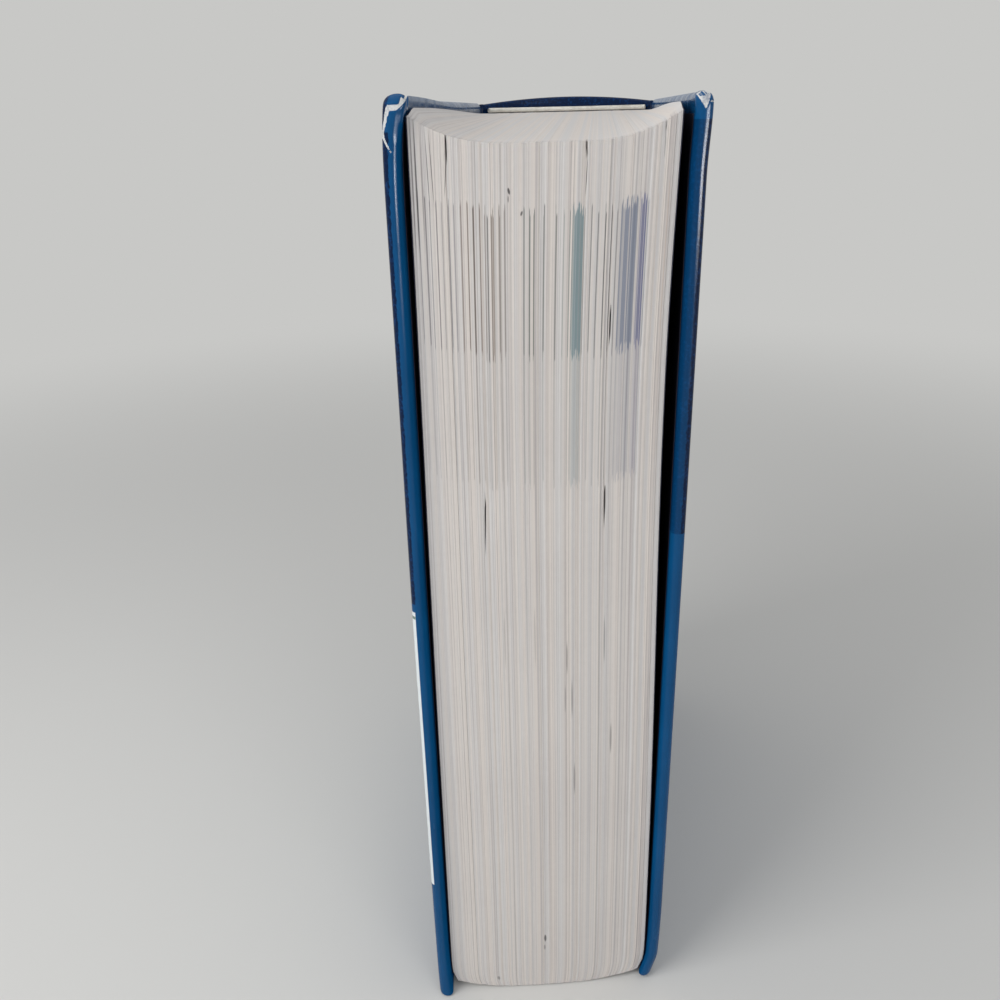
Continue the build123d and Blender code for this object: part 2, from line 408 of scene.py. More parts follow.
def bumped(tree, shader, height, strength, distance):
    """Feeds a height to the shader's normal."""
    bump = add_node(tree, "ShaderNodeBump", {"Height": height, "Strength": strength, "Distance": distance})
    tree.links.new(bump.outputs[0], shader.inputs["Normal"])


def paper_fibre_group():
    """Cloudy tone and fine felted height, shared by every bare paper and board."""
    name = "Paper fibre"
    if name in bpy.data.node_groups:
        return bpy.data.node_groups[name]
    group = bpy.data.node_groups.new(name, "ShaderNodeTree")
    for scale, default in (("Fibre scale", 900.0), ("Cloud scale", 60.0)):
        socket = group.interface.new_socket(scale, in_out="INPUT", socket_type="NodeSocketFloat")
        socket.default_value = default
    for result in ("Tone", "Height"):
        group.interface.new_socket(result, in_out="OUTPUT", socket_type="NodeSocketFloat")
    entry = group.nodes.new("NodeGroupInput")
    leave = group.nodes.new("NodeGroupOutput")
    place = object_place(group)
    fibre = noise(group, place, entry.outputs["Fibre scale"], 4.0, 0.6)
    cloud = noise(group, place, entry.outputs["Cloud scale"], 3.0, 0.55)
    set_inputs(group, leave, {"Tone": fibre * 0.35 + cloud * 0.65, "Height": fibre})
    return group


def paper_fibre(tree, fibre_scale, cloud_scale):
    """Places the paper fibre group in a material and gives its tone and height."""
    made = tree.nodes.new("ShaderNodeGroup")
    made.node_tree = paper_fibre_group()
    set_inputs(tree, made, {"Fibre scale": fibre_scale, "Cloud scale": cloud_scale})
    return Term(tree, made.outputs["Tone"]), Term(tree, made.outputs["Height"])


def fibre_material(name, colours, scales, tones, inputs, strength, distance):
    """Bare paper, board or thread: two colours in clouds, fibres in relief and further shader inputs."""
    material, tree, shader = new_material(name)
    tone, fibre = paper_fibre(tree, *scales)
    set_inputs(tree, shader, {"Base Color": mixed(tree, tone.ramp(*tones), *colours), **inputs})
    bumped(tree, shader, fibre, strength, distance)
    return material


def geometry_tree(name, numbers):
    """A new geometry node tree that takes numbers and a material, with the sockets that it takes them by."""
    tree = bpy.data.node_groups.new(name, "GeometryNodeTree")
    tree.interface.new_socket("Geometry", in_out="INPUT", socket_type="NodeSocketGeometry")
    for number in numbers:
        tree.interface.new_socket(number, in_out="INPUT", socket_type="NodeSocketFloat")
    tree.interface.new_socket("Material", in_out="INPUT", socket_type="NodeSocketMaterial")
    tree.interface.new_socket("Geometry", in_out="OUTPUT", socket_type="NodeSocketGeometry")
    return tree, tree.nodes.new("NodeGroupInput").outputs


def dressed_tree(tree, entry, geometry):
    """Ends a geometry node tree with real geometry in its material."""
    real = add_node(tree, "GeometryNodeRealizeInstances", {"Geometry": geometry})
    inputs = {"Geometry": real.outputs[0], "Material": entry["Material"]}
    dressed = add_node(tree, "GeometryNodeSetMaterial", inputs)
    add_node(tree, "NodeGroupOutput", {"Geometry": dressed.outputs[0]})
    return tree


def node_modifier(source, tree, values):
    """Puts a geometry node tree on an object with its inputs set by name."""
    modifier = source.modifiers.new(tree.name, "NODES")
    modifier.node_group = tree
    for item in tree.interface.items_tree:
        if item.item_type == "SOCKET" and item.in_out == "INPUT" and item.name in values:
            modifier[item.identifier] = values[item.name]


# The block of leaves


def sag_share(across):
    """How far down the sag is, across the block: held up at both sides and flat between them."""
    left_run, right_run, roundness = 0.35, 0.34, 2.2
    climb = np.minimum(across / left_run, (1 - across) / right_run)
    return 1 - np.maximum(0, 1 - climb) ** roundness


def first_leaf_slack(height):
    """How far the first leaf stands off the full thickness, up the fore-edge."""
    lean, lean_start, lean_end = 0.85 * MM, 70 * MM, 250 * MM
    foot, foot_run = 1.5 * MM, 2.2 * MM
    return lean * smoothstep(lean_start, lean_end, height) + foot * np.exp(-(height - tail_level) / foot_run)


def last_leaf_slack(height):
    """How far the last leaf stands off the full thickness, up the fore-edge."""
    settled, foot, foot_run = -0.15 * MM, 1.8 * MM, 2.6 * MM
    waist, waist_height, waist_run, head_run = 2.2 * MM, 180 * MM, 66 * MM, 47 * MM
    run = np.where(height < waist_height, waist_run, head_run)
    swell = waist * np.exp(-0.5 * ((height - waist_height) / run) ** 2)
    return settled + foot * np.exp(-(height - tail_level) / foot_run) + swell


def head_rise(across, depth):
    """How far the leaves beside the covers stand up at the head, behind the fore-edge."""
    rise, first_run, last_run = 1.5 * MM, 0.06, 0.05
    beside = np.exp(-across / first_run) + np.exp(-(1 - across) / last_run)
    return rise * beside * hump(depth, (0, 0.06), (0.15, 1.0))


def leaf_place(across, depth, height):
    """Where a point of the block lies; across runs from the first leaf to the last, depth from the
    fore-edge to the spine and height from tail to head, each from 0 to 1."""
    leaves = settings().leaves
    loosest = 0.98
    looseness = loosest * (1 - depth)
    upright = tail_level + (head_level - tail_level) * height
    left = -block_face + first_leaf_slack(upright) * looseness
    right = block_face - last_leaf_slack(upright) * looseness
    x = left + (right - left) * across
    fore = middle_fore + leaves.fore_edge_square + lean_slope * x
    fore = fore - leaves.fore_edge_bow * (1 - (2 * across - 1) ** 2)
    back = spine_axis_y + np.sqrt(spine_radius**2 - (x - spine_axis_x) ** 2)
    y = fore + (back - fore) * depth
    head = head_level - leaves.head_sag * sag_share(across) * looseness + head_rise(across, depth)
    tail = tail_level - leaves.tail_sag * sag_share(across) * looseness
    return x, y, tail + (head - tail) * height


def samples(*stretches):
    """Numbers along stretches that follow each other, each given by its start, end and count."""
    parts = [np.linspace(start, end, count)[:-1] for start, end, count in stretches]
    return np.concatenate([*parts, [stretches[-1][1]]])


# Slits where leaves have parted: across at the top and at the bottom, start and end below the head,
# width and depth, all in mm
LEAF_SLITS = (
    (7.56, 7.50, 0.4, 5.6, 0.18, 1.6),
    (35.70, 36.05, -1.0, 3.8, 0.17, 0.6),
    (42.15, 42.16, 32.5, 42.0, 0.16, 0.8),
    (13.90, 13.58, 74.5, 87.5, 0.17, 0.9),
    (41.94, 41.96, 73.0, 83.0, 0.18, 1.0),
    (51.75, 51.95, -0.2, 2.6, 0.14, 0.4),
)


def slit_depth(across_mm, drop_mm):
    """How far each point of the fore-edge is pushed in by the slits, in metres."""
    depth = np.zeros_like(across_mm)
    opening, closing, shoulder = 0.25, 0.45, 0.4
    for top, bottom, start, end, width, deepest in LEAF_SLITS:
        along = np.clip((drop_mm - start) / (end - start), 0, 1)
        middle = top + (bottom - top) * along
        groove = 1 - smoothstep(shoulder, 1, np.abs(across_mm - middle) / width)
        depth = np.maximum(depth, groove * hump(along, (0, opening), (closing, 1)) * deepest * MM)
    return depth


def leaves_mesh():
    """The block of leaves as a closed mesh, closest where the camera looks, with values for its finish."""
    across = np.linspace(0, 1, settings().leaves.columns)
    depth = samples((0, 0.12, 10), (0.12, 1, 12))
    height = samples((0, 0.14, 18), (0.14, 0.78, 78), (0.78, 1, 46))
    counts = (len(across), len(depth), len(height))
    on_surface = np.zeros(counts, bool)
    for part in ((slice(None), 0), (slice(None), slice(None), 0), (slice(None), slice(None), -1), 0, -1):
        on_surface[part] = True
    number = np.full(counts, -1)
    number[on_surface] = np.arange(on_surface.sum())
    a, d, h = (grid[on_surface] for grid in np.meshgrid(across, depth, height, indexing="ij"))
    x, y, z = leaf_place(a, d, h)
    across_mm = a * 2 * block_face / MM
    drop_mm = (leaf_place(a, d, np.ones_like(h))[2] - z) / MM
    fore = 1 - smoothstep(0, 0.05, d)
    slit = slit_depth(across_mm, drop_mm) * fore

    def quads(sheet):
        return np.stack([sheet[:-1, :-1], sheet[1:, :-1], sheet[1:, 1:], sheet[:-1, 1:]], -1).reshape(-1, 4)

    sheets = (number[:, 0, :], number[:, :, 0], number[:, :, -1], number[0], number[-1])
    faces = [face.tolist() for sheet in sheets for face in quads(sheet)]
    back = number[:, -1, :].tolist()
    faces.append([*back[0], back[1][-1], back[1][0]])
    faces.append([*back[-1], back[-2][-1], back[-2][0]])
    for column, following in zip(back[1:-2], back[2:-1]):
        faces.append([column[0], column[-1], following[-1], following[0]])
    mesh = bpy.data.meshes.new("leaves")
    mesh.from_pydata(np.stack([x, y + slit, z], -1).tolist(), [], faces)
    outward_faces(mesh)
    slit_full_depth = 0.6 * MM
    stored = {
        "across": across_mm,
        "drop": drop_mm,
        "fore": fore,
        "head": smoothstep(0.97, 1, h),
        "tail": 1 - smoothstep(0, 0.02, h),
        "slit": np.clip(slit / slit_full_depth, 0, 1),
    }
    for name, values in stored.items():
        point_values(mesh, name, values)
    return mesh


def leaf_edge_nodes():
    """Geometry nodes that set single leaves and whole gatherings past each other."""
    numbers = ("Leaf pitch", "Leaf jitter", "Gathering pitch", "Gathering step", "Seed")
    tree, entry = geometry_tree("Leaf edges", numbers)
    leaf_shift, gathering_shift, end_share = 1000.0, 77.0, 0.4

    def stored(name):
        named = add_node(tree, "GeometryNodeInputNamedAttribute", {"Name": name}, data_type="FLOAT")
        return Term(tree, named.outputs["Attribute"])

    def unevenness(shift):
        seed = Term(tree, entry["Seed"]) + shift
        leaf_draw = ((across / entry["Leaf pitch"]).floor() + seed * leaf_shift).draw()
        drift = noise(tree, across + seed, 0.21, dimensions="1D")
        gathering = (across / entry["Gathering pitch"] + drift + drift * 4.0).floor()
        gathering_draw = (gathering + seed * gathering_shift).draw()
        leaf_part = (leaf_draw - 0.5) * entry["Leaf jitter"]
        gathering_part = (gathering_draw - 0.5) * entry["Gathering step"]
        return (leaf_part + gathering_part) * 2.0

    across = stored("across")
    forward = unevenness(1.0) * stored("fore")
    upward = unevenness(5.0) * ((stored("head") - stored("tail")) * end_share)
    offset = add_node(tree, "ShaderNodeCombineXYZ", {"Y": forward, "Z": upward}).outputs[0]
    moved = add_node(tree, "GeometryNodeSetPosition", {"Geometry": entry["Geometry"], "Offset": offset})
    return dressed_tree(tree, entry, moved.outputs[0])


# Lines printed to the edge of the leaves: first and last line across in mm, how many, width in mm,
# colour and strength
EDGE_LINES = (
    (1.4, 8.8, 7, 0.22, srgb(96, 92, 98), 0.75),
    (10.2, 16.4, 6, 0.26, srgb(112, 96, 86), 0.8),
    (13.0, 15.6, 2, 0.24, srgb(70, 64, 60), 0.9),
    (17.0, 19.4, 3, 0.36, srgb(96, 82, 70), 0.85),
    (23.4, 25.3, 3, 0.28, srgb(96, 104, 98), 0.85),
    (27.6, 30.2, 2, 0.32, srgb(78, 82, 78), 0.9),
    (31.7, 32.8, 2, 0.20, srgb(108, 122, 116), 0.7),
    (36.1, 42.9, 6, 0.24, srgb(84, 84, 84), 0.85),
    (49.2, 49.2, 1, 0.26, srgb(120, 122, 134), 0.7),
    (51.4, 53.2, 2, 0.22, srgb(196, 176, 160), 0.5),
)

# Blocks of leaves with a coloured edge: start and end across in mm, colour and strength
EDGE_BLOCKS = (
    (33.4, 35.7, srgb(108, 132, 138), 0.85),
    (43.5, 47.1, srgb(116, 124, 142), 0.85),
    (47.5, 48.9, srgb(104, 108, 140), 0.9),
)

# Gaps where leaves have parted and one small shadow at the tail, all painted shade, and smudges and specks:
# across and drop of the middle, half width and half height in mm, slant and strength
EDGE_MARKS = (
    (0.50, 13.0, 0.20, 16.0, 0.00, 0.45),
    (1.26, 12.6, 0.20, 16.0, 0.00, 0.75),
    (2.44, 12.6, 0.12, 14.0, 0.00, 0.50),
    (3.66, 8.5, 0.12, 9.5, 0.03, 0.60),
    (4.47, 7.5, 0.12, 8.5, 0.04, 0.60),
    (7.30, 7.6, 0.10, 4.6, -0.07, 0.85),
    (35.98, 6.4, 0.11, 4.4, -0.03, 0.80),
    (51.85, 4.4, 0.10, 3.2, 0.00, 0.45),
    (20.13, 8.9, 0.30, 0.8, 0.18, 0.85),
    (20.00, 10.4, 0.16, 0.8, 0.00, 0.55),
    (22.75, 13.2, 0.28, 0.6, -0.25, 0.75),
    (26.77, 211.0, 0.40, 1.6, 0.00, 0.75),
    (26.60, 214.5, 0.30, 1.2, 0.00, 0.45),
    # A small shadow at the tail, painted as shade
    (13.18, 226.2, 0.50, 0.9, 0.00, 0.45),
    (32.99, 118.0, 0.26, 5.5, 0.00, 0.42),
    (34.22, 130.0, 0.24, 6.5, 0.00, 0.40),
    (32.52, 130.0, 0.22, 5.0, 0.00, 0.30),
    (34.81, 155.0, 0.28, 6.0, 0.00, 0.42),
    (44.17, 144.0, 0.30, 5.5, 0.00, 0.42),
    (42.28, 114.0, 0.24, 8.0, 0.00, 0.40),
    (17.68, 112.0, 0.18, 10.0, 0.00, 0.28),
    (25.12, 112.0, 0.18, 10.0, 0.00, 0.28),
    (13.70, 84.0, 0.14, 6.5, -0.02, 0.70),
    (41.95, 79.0, 0.16, 6.0, 0.00, 0.70),
)


def line_mask(across, first, last, count, width):
    """1 on printed lines that are spread a little unevenly from first to last."""
    lone_pitch = 1.0
    pitch = (last - first) / (count - 1) if count > 1 else lone_pitch
    half = width / pitch / 2
    cell = (across - first) / pitch + 0.5
    draw = (cell.floor() + first * 7.0).draw()
    away = (cell.calc("FRACT") - draw.ramp(0.0, 1.0, 0.36, 0.64)).calc("ABSOLUTE")
    line = away.ramp(half * 0.5, half * 1.5, 1.0, 0.0) * draw.ramp(0.0, 1.0, 0.6, 1.0)
    return line * (cell.calc("GREATER_THAN", 0.0) * cell.calc("LESS_THAN", count))


def block_mask(across, start, end, draw):
    """1 on a block of leaves, weaker on some of them."""
    blur = 0.06
    return across.within(start, end, blur) * draw.ramp(0.0, 0.6, 0.45, 1.0)


def mark_mask(across, drop, mark):
    """1 in the middle of a gap, smudge or speck, fading to its edge."""
    middle, level, half_width, half_height, slant, strength = mark
    down = drop - level
    wide = (across - middle - down * slant) / half_width
    high = down / half_height
    return (wide * wide + high * high).ramp(0.2, 1.0, strength, 0.0)


def leaf_material():
    """Cut paper edges with fine vertical lines, and faded lines and blocks of colour printed at the edge."""
    leaves = settings().leaves
    material, tree, shader = new_material("leaf_edges")
    across, drop, fore, slit = (named_value(tree, name) for name in ("across", "drop", "fore", "slit"))
    tone, fibre = paper_fibre(tree, 700.0, 25.0)

    # Warm and cool bundles, lines between leaves and broader shading, weak on the head
    leaf = (across / (leaves.leaf_pitch / MM)).floor()
    leaf_draw = leaf.draw()
    bundle = noise(tree, across, 0.5, 2.0, 0.6, dimensions="1D")
    streak = noise(tree, across, 1.5, 4.0, 0.75, dimensions="1D")
    along = noise(tree, stretched(tree, object_place(tree), 900, 40, 9), 1.0)
    paper = mixed(tree, bundle.ramp(0.38, 0.62), leaves.paper, leaves.cool_paper)
    shade = leaf_draw.ramp(0.6, 1.0, 0.0, 0.5) + streak.ramp(0.5, 0.72, 0.0, 0.7)
    shade = shade * along.ramp(0.3, 0.7, 0.4, 1.0) + tone.ramp(0.3, 0.7, 0.0, 0.12)
    on_head = across.ramp(5.0, 15.0, 0.7, 0.08)
    colour = mixed(tree, shade * fore.calc("MAXIMUM", on_head), paper, leaves.paper_shade)

    # Ragged start, step and end of the printed bands, one draw for each leaf
    band_start, band_step, band_end, edge_blur, raggedness, next_draw = 12.6, 42.5, 72.0, 0.5, 2.6, 90.0
    level = drop + ((leaf + next_draw).draw() - 0.5) * raggedness
    band = level.within(band_start, band_end, edge_blur) * level.step(band_step, edge_blur, 1.0, 0.36) * fore
    for first, last, ink, strength in EDGE_BLOCKS:
        share = block_mask(across, first, last, leaf_draw) * strength
        colour = mixed(tree, share * band, colour, ink)
    for first, last, count, width, ink, strength in EDGE_LINES:
        share = line_mask(across, first, last, count, width) * strength
        colour = mixed(tree, share * band, colour, ink)

    # Painted shade in the slits and gaps where leaves have parted and in the small shadow at the tail, with
    # smudges and specks
    shade_and_smudge_colour = srgb(38, 34, 38)
    dark = slit * 0.85
    for mark in EDGE_MARKS:
        dark = dark.calc("MAXIMUM", mark_mask(across, drop, mark) * fore)
    colour = mixed(tree, dark, colour, shade_and_smudge_colour)
    set_inputs(tree, shader, {"Base Color": colour, "Roughness": 0.85, "Specular IOR Level": 0.1})
    bumped(tree, shader, leaf_draw * 0.7 + fibre * 0.3, 0.35, 0.04 * MM)
    return material


def endpaper_material():
    """Smooth endpaper in a dark slate that paints the shade in the gaps beside the leaves, a little paler
    where it is rubbed.
    """
    colours = (settings().leaves.endpaper, settings().leaves.rubbed_endpaper)
    finish = {"Roughness": 0.9, "Specular IOR Level": 0.0}
    tones = (0.35, 0.75, 0.0, 0.5)
    return fibre_material("painted_shade_endpaper", colours, (1100.0, 18.0), tones, finish, 0.35, 0.03 * MM)


class BOOK_OT_leaves(bpy.types.Operator):
    """Build the sagged block of leaves with its cut edges, slits and printed bands"""

    bl_idname = "book.leaves"
    bl_label = "Leaves"

    def execute(self, context):
        leaves = settings().leaves
        piece = new_object("leaves", leaves_mesh())
        values = {
            "Leaf pitch": leaves.leaf_pitch / MM,
            "Leaf jitter": leaves.leaf_jitter,
            "Gathering pitch": leaves.gathering_pitch / MM,
            "Gathering step": leaves.gathering_step,
            "Seed": 3.0,
            "Material": leaf_material(),
        }
        node_modifier(piece, leaf_edge_nodes(), values)
        plain_mesh(piece)
        smooth_shaded(piece.data, 50)
        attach(piece, "book_block")
        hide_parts("text_block")
        return {"FINISHED"}


class BOOK_OT_flyleaves(bpy.types.Operator):
    """Lay the free half of each endpaper on the outer leaves"""

    bl_idname = "book.flyleaves"
    bl_label = "Flyleaves"

    def execute(self, context):
        paper = endpaper_material()
        gap, columns, rows = 0.06 * MM, 40, 60
        grids = np.meshgrid(np.linspace(0, 1, columns), np.linspace(0, 1, rows), indexing="ij")
        depth, height = (grid.ravel() for grid in grids)
        for node, across, side in (("front_flyleaf", 0.0, FRONT), ("back_flyleaf", 1.0, BACK)):
            x, y, z = leaf_place(np.full_like(depth, across), depth, height)
            x = x + side * (gap + endpaper_thickness)
            mesh = mesh_from(node + "_sheet", np.stack([x, y, z], -1), grid_faces(columns, rows))
            piece = new_object(node + "_sheet", faced(mesh, mesh.polygons[0], (side, 0, 0)))
            solidified(piece, endpaper_thickness)
            smooth_shaded(piece.data)
            piece.data.materials.append(paper)
            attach(piece, "book_block")
            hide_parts(node)
        return {"FINISHED"}


# The covers


def cover_fore(side):
    """Where a cover's fore-edge lies."""
    return front_low.y if side == FRONT else back_low.y


def cover_outline():
    """Samples round the three free edges of a cover: kind of stretch and share along it."""
    fore = samples((0, 0.10, 34), (0.10, 0.92, 60), (0.92, 1, 130))
    edge = samples((0, 0.12, 60), (0.12, 1, 18))
    turn = np.linspace(0, 1, 16)[1:-1]
    stretches = {"tail": edge[::-1], "tail corner": turn, "fore": fore, "head corner": turn, "head": edge}
    return [(kind, share) for kind, shares in stretches.items() for share in shares]


def outline_point(side, kind, share, inset):
    """A point of the cover's outline moved in by an inset: y and z."""
    head_radius = 2.5 * MM
    tail_radius = 2.3 * MM if side == BACK else 0.7 * MM
    fore = cover_fore(side)
    head_corner = max(head_radius, inset)
    tail_corner = max(tail_radius, inset)
    if kind == "tail":
        return fore + tail_corner + (cover_width - tail_corner) * share, inset
    if kind == "head":
        return fore + head_corner + (cover_width - head_corner) * share, cover_height - inset
    if kind == "fore":
        return fore + inset, tail_corner + (cover_height - head_corner - tail_corner) * share
    at_tail = kind == "tail corner"
    corner = tail_corner if at_tail else head_corner
    angle = math.pi * (1.5 - 0.5 * share if at_tail else 1 - 0.5 * share)
    middle = tail_corner if at_tail else cover_height - head_corner
    radius = corner - inset
    return fore + corner + radius * math.cos(angle), middle + radius * math.sin(angle)


def cover_profile(under, inner_reach):
    """From the middle of the outer face round the edge onto the inner face, at a depth under the covering:
    inset from the cover's outline and depth below its outer face."""
    cover = settings().cover
    radius = cover.edge_radius - under
    wide = [cover_height / 2 * share for share in (1.0, 0.84, 0.67, 0.5, 0.35, 0.24, 0.17)]
    wide += [cover.turn_in * share for share in (1.0, 0.75, 0.55, 0.4, 0.28, 0.2, 0.14)]
    bend = np.linspace(0, math.pi / 2, 14)
    inner = cover_thickness - under
    curve = [(under + radius * (1 - math.sin(angle)), radius * (1 - math.cos(angle))) for angle in bend]
    profile = [(inset, under) for inset in wide]
    profile += [(inset, under + depth) for inset, depth in curve]
    profile += [(inset, inner - depth) for inset, depth in reversed(curve)]
    profile += [(inset, inner) for inset in reversed(wide) if inset <= inner_reach]
    return profile


def cover_surface(side, under, inner_reach):
    """Points of a cover's surface at a depth under its covering, as if no knock had moved them: outward
    x, y and z, with the number of rings and of points in each."""
    outline = cover_outline()
    profile = cover_profile(under, inner_reach)
    points = []
    for inset, depth in profile:
        for kind, share in outline:
            points.append((cover_outer - depth, *outline_point(side, kind, share, inset)))
    return np.array(points).T, len(profile), len(outline)


def swollen(x, share):
    """Outward places spread from the middle of a cover's thickness by a share."""
    return cover_middle + (x - cover_middle) * (1 + share)


def knocked_front(x, y, z, behind, below):
    """Points of the front cover where knocks have left them."""
    # The board is bowed outwards, and its edge is pressed flat below the tear
    inner = smoothstep(2.5 * MM, 3.1 * MM, cover_outer - x)
    stand, stand_end, bow, bow_level, bow_run = 0.25 * MM, 60 * MM, 0.22 * MM, 125 * MM, 45 * MM
    bowed = stand * smoothstep(0, stand_end, z) + bow * np.exp(-(((z - bow_level) / bow_run) ** 2))
    facet_level, facet_slope = -0.17 * MM, 0.577
    facet = cover_fore(FRONT) + facet_level - facet_slope * (x - cover_middle)
    y = y + np.maximum(facet - y, 0) * hump(below / MM, (2.4, 3.4), (6.0, 8.4))
    x = x + bowed * (1 - behind / cover_width)

    # The tail corner is bumped: thicker, pushed in and forward
    bump_run, bump_swelling, bump_push, bump_forward = 6 * MM, 0.3, 1.1 * MM, 0.9 * MM
    bump = np.exp(-(z + behind) / bump_run)
    x = swollen(x, bump_swelling * bump) - bump_push * bump
    y = y - bump_forward * bump

    # The head corner is pushed in, swollen and raised, and behind it the inner layers have lifted
    push, swelling, run_down, run_back = 2.9 * MM, 0.75, 4.5 * MM, 6.0 * MM
    near = np.exp(-below / run_down - behind / run_back)
    x = swollen(x, swelling * near) - push * near
    lift, dip, rise, fade_run = 0.9 * MM, 0.8 * MM, 1.4 * MM, 6.0 * MM
    raised = 1 - smoothstep(1.8, 3.2, behind / MM)
    dipped = hump(behind / MM, (2.2, 3.6), (11.0, 13.5))
    risen = inner * hump(behind / MM, (11.5, 14.0), (18.0, 90.0))
    fade = 1 - smoothstep(0, fade_run, below)
    return x, y, z + (lift * raised - dip * dipped + rise * risen) * fade


def knocked_back(x, y, z, behind, below):
    """Points of the back cover where knocks have left them."""
    # The cover stands a little open, and its head corner is swollen and leans out
    opened, opened_end = 0.42 * MM, 30 * MM
    x = x + opened * smoothstep(0, opened_end, z) * (1 - behind / cover_width)
    swelling, run, lift = 0.3, 3.0 * MM, 0.35 * MM
    near = np.exp(-below / run - behind / run)
    lean, lean_run, lean_reach = 0.6 * MM, 3.0 * MM, 16.0 * MM
    lean_back = 1 - smoothstep(0, lean_reach, behind)
    leaning = lean * (1 - np.exp(-below / lean_run)) * (1 - smoothstep(0, lean_reach, below)) * lean_back
    x = swollen(x, swelling * near) + leaning

    # The tail corner is bent in from a slanting crease
    leg, depth, softness = 10 * MM, 2.6 * MM, 1.6 * MM
    reach = leg - behind - z
    bend = 0.5 * (reach + np.sqrt(reach**2 + softness**2))
    return x - bend * depth / leg, y, z + lift * near


def knocked(side, x, y, z):
    """Carries points of a cover to where knocks have left them; x is measured outwards."""
    behind = np.maximum(y - cover_fore(side), 0)
    below = np.maximum(cover_height - z, 0)
    knocks = knocked_front if side == FRONT else knocked_back
    return knocks(x, y, z, behind, below)


def torn_spot(away, drop, half_width, half_height, rough):
    """1 in a torn spot, by how far away from its middle and below it a point lies."""
    return 1 - smoothstep(0.8, 1.2, np.hypot(away / half_width, drop / half_height) + rough)


def torn_front(inward, below, behind, rough):
    """Tears of the front cover's head corner."""
    # A ring below a cap of covering that is left on the corner, climbing towards the inside
    ring_level = 2.3 - 1.2 * smoothstep(1.9, 3.3, inward) - 0.3 * behind
    ring = 1 - smoothstep(0.30, 0.50, np.abs(below - ring_level) + 0.35 * rough)
    ring = ring * smoothstep(0.45, 0.65, inward) * (1 - smoothstep(2.6, 3.4, behind))

    # A strip from the ring down the outer side, round the edge and out in a slant
    strip_levels = (2.2, 4.7, 5.9, 6.9, 8.3, 9.6)
    strip_place = np.interp(below, strip_levels, (0.78, 0.42, 0.16, 0.20, 0.92, 1.75))
    strip_width = np.interp(below, strip_levels, (0.34, 0.24, 0.22, 0.26, 0.18, 0.06))
    strip = 1 - smoothstep(0.7, 1.2, (np.abs(inward - strip_place) + 0.2 * rough) / strip_width)
    strip = strip * (below > 2.2) * (below < 9.7) * (1 - smoothstep(1.6, 2.2, behind))
    sliver = torn_spot(inward - 2.3, below - 1.2, 0.16, 0.6, rough) * (behind < 1.6)
    return np.maximum(np.maximum(ring, strip), sliver)


def torn_back(inward, below, behind, rough):
    """Tears of the back cover: a wedge with its point downwards, with a scrap of print left in it, a crack
    beside it and a nick below."""
    tip_place, tip_level, inner_slope, outer_slope = 1.53, 3.4, 1.86, 2.9
    slope = np.where(inward > tip_place, inner_slope, outer_slope)
    wedge_level = tip_level - slope * np.abs(inward - tip_place)
    wedge = 1 - smoothstep(-0.14, 0.14, below - wedge_level + 0.5 * rough)
    scrap = torn_spot(inward - 2.0, below - 0.7, 0.75, 0.5, rough)
    scrap = scrap * (0.62 + 0.9 * wavy(inward * 9.0 + below * 6.0, 13))
    wedge = wedge * (1 - np.clip(scrap, 0, 1)) * (1 - smoothstep(3.0, 4.5, behind))
    crack = 1 - smoothstep(0.08, 0.16, np.abs(below - 2.0 + 0.3 * rough))
    crack = crack * (inward < 0.75) * (behind < 2.2)
    nick = torn_spot(inward - 1.15, below - 28.4, 0.28, 0.5, rough) * (behind < 1.6)
    return np.maximum(np.maximum(wedge, 0.8 * crack), nick)


def torn_share(side, x, y, z):
    """1 where the covering is torn at a head corner, 0 where it is whole; x is measured outwards."""
    below = (cover_height - z) / MM
    behind = (y - cover_fore(side)) / MM
    inward = (cover_outer - x) / MM
    rough = 0.22 * wavy(below * 3.1 + inward * 2.3, 11) + 0.16 * wavy(behind * 4.0 - below * 5.0, 12)
    tears = torn_front if side == FRONT else torn_back
    return np.clip(tears(inward, below, behind, rough), 0, 1)


def cover_skin(side):
    """The covering of one board: outer face, rounded edges and turn-ins, open where the joint begins."""
    (x, y, z), rings, round_count = cover_surface(side, 0, settings().cover.turn_in)
    torn = torn_share(side, x, y, z)
    inward = (cover_outer - x) / MM
    x, y, z = knocked(side, x, y, z)
    mesh = bpy.data.meshes.new("skin")
    mesh.from_pydata(np.stack([side * x, y, z], -1).tolist(), [], grid_faces(rings, round_count))
    point_values(mesh, "torn", torn)
    point_values(mesh, "inward", inward)
    outward_faces(mesh)
    faced(mesh, max(mesh.polygons, key=lambda face: face.area), (side, 0, 0))

    # Torn places are sunk below the laminate, with a lip of lifted covering round them
    sunk, lip_height, lip_middle, lip_run = 0.14 * MM, 0.05 * MM, 0.15, 0.12
    values = np.zeros(len(mesh.vertices), np.float32)
    mesh.attributes["torn"].data.foreach_get("value", values)
    normals = np.array([v.normal for v in mesh.vertices])
    places = np.array([v.co for v in mesh.vertices])
    lip = lip_height * np.exp(-(((values - lip_middle) / lip_run) ** 2)) * (values > 0.01)
    places = places + normals * (lip - sunk * values)[:, None]
    mesh.vertices.foreach_set("co", places.astype(np.float32).ravel())
    mesh.update()
    return mesh


def board_mesh(side):
    """The board inside a covering, closed at the joint, following the same knocks."""
    under = 0.3 * MM
    (x, y, z), rings, round_count = cover_surface(side, under, cover_height / 2)
    x, y, z = knocked(side, x, y, z)
    faces = grid_faces(rings, round_count)
    starts = [ring * round_count for ring in range(rings)]
    faces.append((*starts, *[start + round_count - 1 for start in reversed(starts)]))
    return mesh_from("board", np.stack([side * x, y, z], -1), faces)


